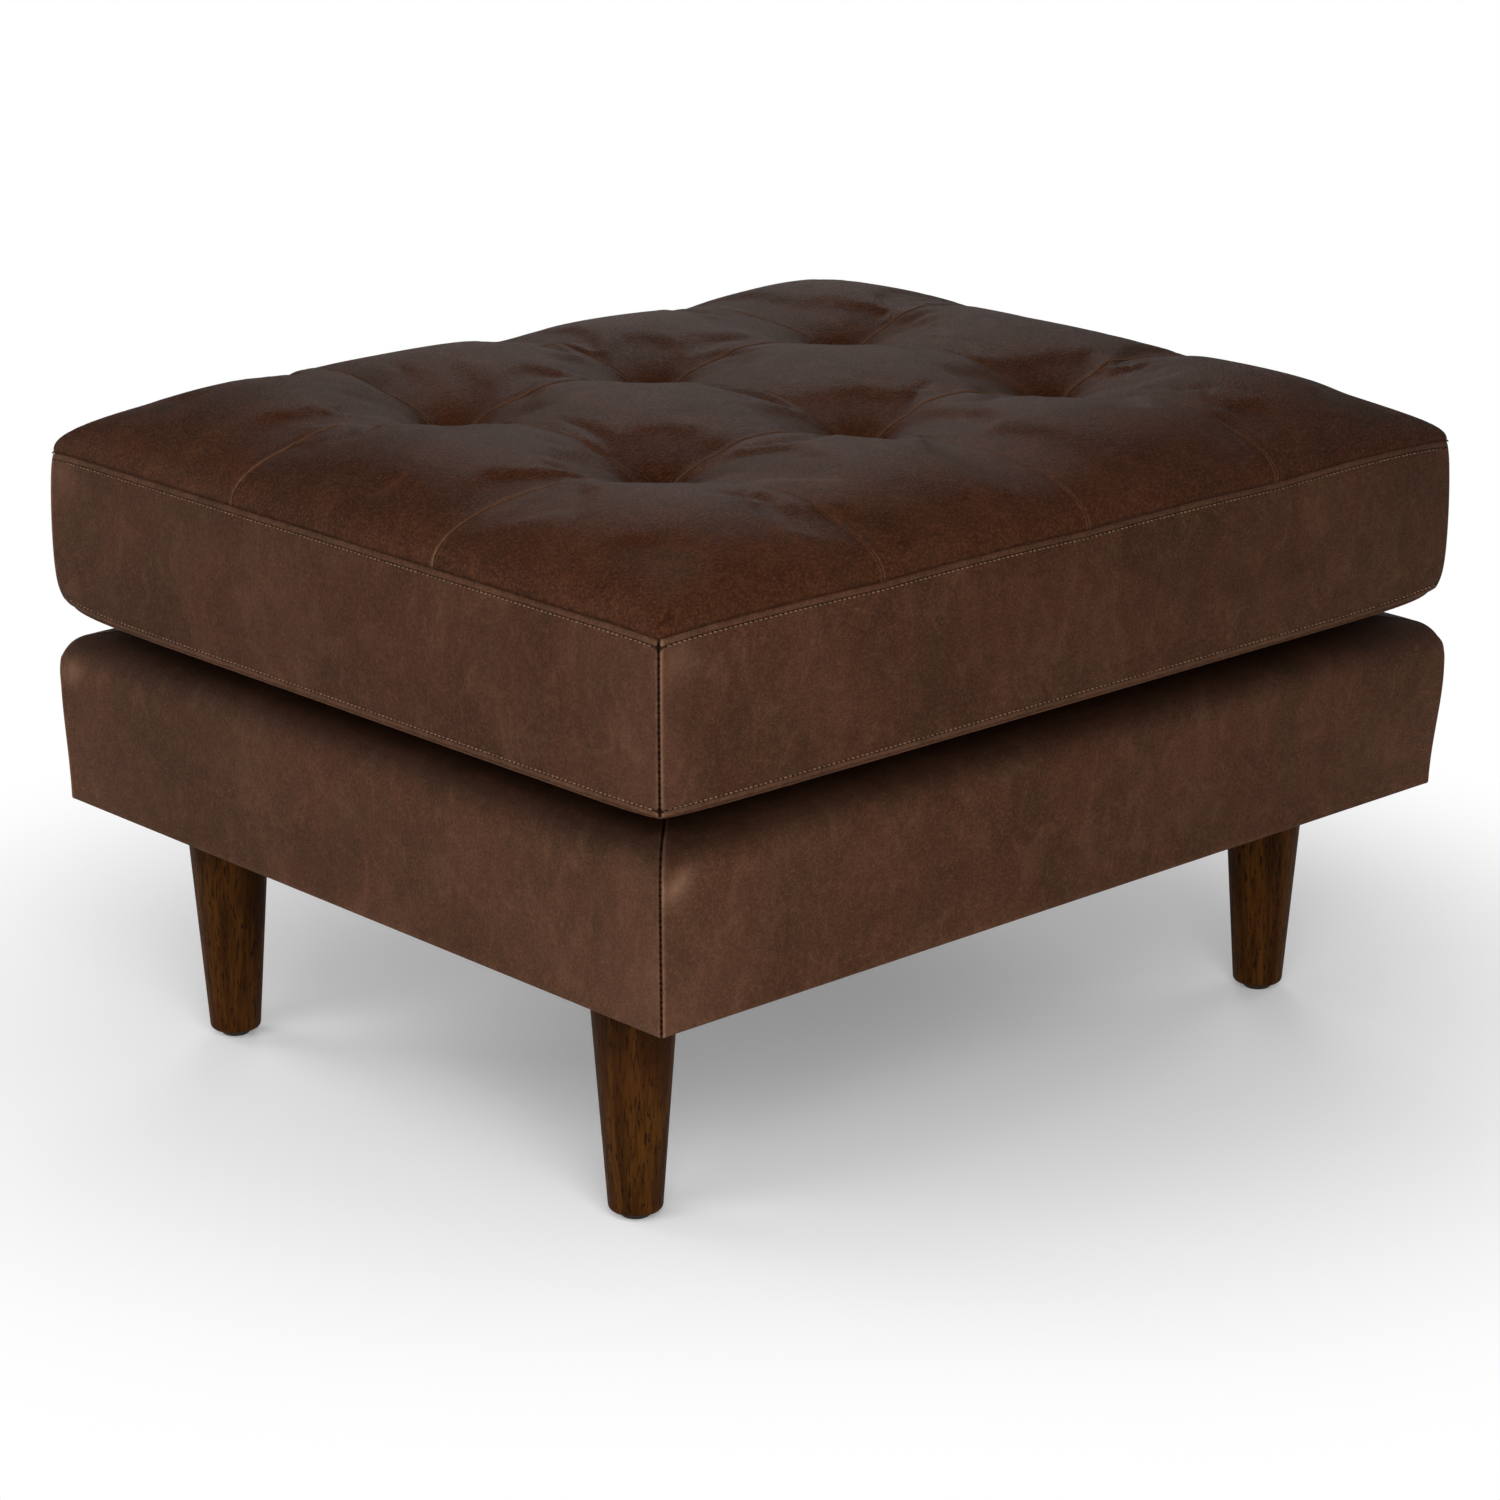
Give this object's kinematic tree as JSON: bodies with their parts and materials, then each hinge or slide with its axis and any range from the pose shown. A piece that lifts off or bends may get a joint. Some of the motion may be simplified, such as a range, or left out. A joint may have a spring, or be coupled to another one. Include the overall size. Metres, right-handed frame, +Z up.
{
  "type": "ottoman coffee table",
  "caption": "Rectangular leather ottoman: a loose tufted box cushion on a low upholstered base with four tapered turned wooden legs.",
  "frame": {"origin": "on the floor, under the middle of the whole object", "axes": "+X along the long side, to the right as seen from the front; +Y from the front to the back; +Z up"},
  "size_m": [0.724, 0.622, 0.4555],
  "materials": {
    "leather": "satin",
    "leg_wood": "satin",
    "glide_nylon": "satin",
    "frame_wood": "matte",
    "plywood": "matte",
    "zinc_steel": "satin",
    "webbing": "matte",
    "foam": "matte",
    "fibre": "matte",
    "deck_cloth": "matte",
    "deck_lining": "matte",
    "dust_cloth": "matte",
    "twine": "matte",
    "zip_tape": "matte",
    "zip_metal": "satin"
  },
  "bodies": {
    "base": {"base_cover_back": "leather", "base_cover_front": "leather", "base_cover_left": "leather", "base_cover_right": "leather", "board_screws": "zinc_steel", "corner_board_back_left": "plywood", "corner_board_back_right": "plywood", "corner_board_front_left": "plywood", "corner_board_front_right": "plywood", "deck_cloth": "deck_cloth", "deck_cover": "deck_lining", "deck_foam": "foam", "dust_cover": "dust_cloth", "frame_cross_rail": "frame_wood", "frame_rail_back": "frame_wood", "frame_rail_front": "frame_wood", "frame_rail_left": "frame_wood", "frame_rail_right": "frame_wood", "glide_back_left": "glide_nylon", "glide_back_right": "glide_nylon", "glide_front_left": "glide_nylon", "glide_front_right": "glide_nylon", "hanger_bolts": "zinc_steel", "leg_back_left": "leg_wood", "leg_back_right": "leg_wood", "leg_front_left": "leg_wood", "leg_front_right": "leg_wood", "rail_screws": "zinc_steel", "side_padding_back": "foam", "side_padding_front": "foam", "side_padding_left": "foam", "side_padding_right": "foam", "tee_nuts": "zinc_steel", "webbing_crosswise": "webbing", "webbing_lengthwise": "webbing"},
    "cushion": {"bottom_panel": "leather", "boxing_back_lower": "leather", "boxing_back_upper": "leather", "boxing_front": "leather", "boxing_left": "leather", "boxing_right": "leather", "fibre_topper": "fibre", "foam_core": "foam", "top_panel_back_1": "leather", "top_panel_back_2": "leather", "top_panel_back_3": "leather", "top_panel_back_4": "leather", "top_panel_front_1": "leather", "top_panel_front_2": "leather", "top_panel_front_3": "leather", "top_panel_front_4": "leather", "top_panel_middle_1": "leather", "top_panel_middle_2": "leather", "top_panel_middle_3": "leather", "top_panel_middle_4": "leather", "tuft_twines": "twine", "tuft_washers": "zinc_steel", "zip_tapes": "zip_tape"},
    "zip_slider": {"zip_slider": "zip_metal"}
  },
  "joints": [
    {"name": "cushion_lift", "type": "slide", "parent": "base", "child": "cushion", "axis": [0, 0, 1], "range_m": [0, 0.15]},
    {"name": "zip_slide", "type": "slide", "parent": "cushion", "child": "zip_slider", "axis": [1, 0, 0], "range_m": [-0.617, 0]}
  ]
}
